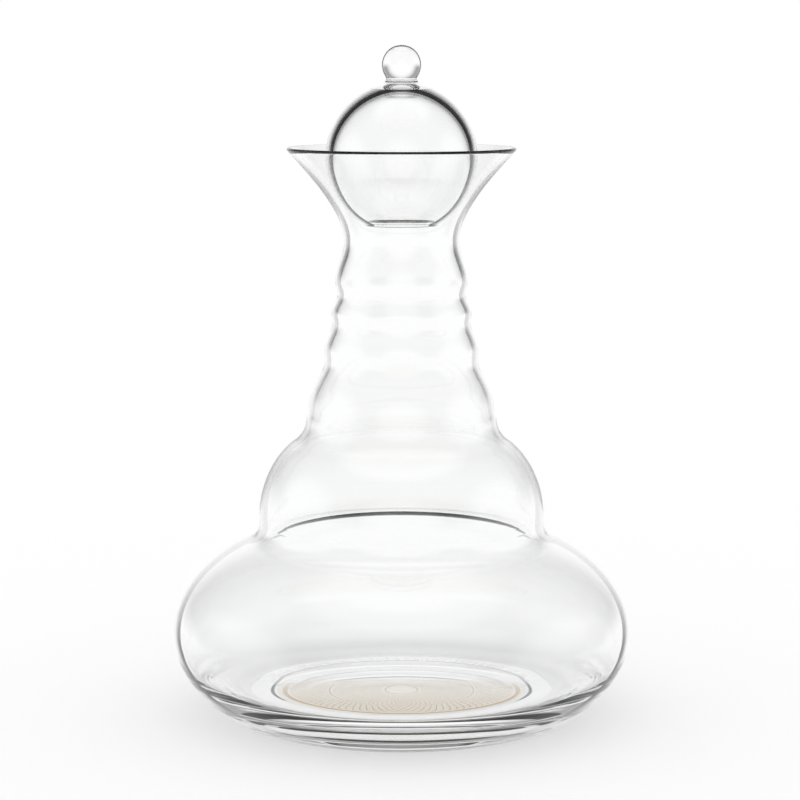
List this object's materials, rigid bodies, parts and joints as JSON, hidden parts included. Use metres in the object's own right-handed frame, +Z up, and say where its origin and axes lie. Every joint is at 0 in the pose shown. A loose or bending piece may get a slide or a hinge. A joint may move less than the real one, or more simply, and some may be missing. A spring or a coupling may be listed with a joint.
{
  "type": "water carafe",
  "caption": "Clear blown-glass water carafe: flattened belly, bell shoulder, ribbed neck and trumpet mouth, closed by a hollow ball stopper with a bead knob; gold print under the base.",
  "frame": {"origin": "centre of the foot ring, on the surface that the carafe stands on", "axes": "+Z up along the axis of revolution; the carafe is round, so +X and +Y are free"},
  "size_m": [0.1728, 0.1728, 0.252],
  "materials": {
    "clear_glass": "clear, fire-polished blown glass",
    "stopper_glass": "clear, fire-polished blown glass",
    "fired_gold": "fired cream and gold enamel print"
  },
  "bodies": {
    "carafe": {"carafe_body": "clear_glass", "base_print": "fired_gold"},
    "stopper": {"stopper_ball": "stopper_glass", "stopper_knob": "stopper_glass"}
  },
  "joints": [
    {"name": "stopper_lift", "type": "slide", "parent": "carafe", "child": "stopper", "axis": [0, 0, 1], "range_m": [0, 0.08]}
  ]
}
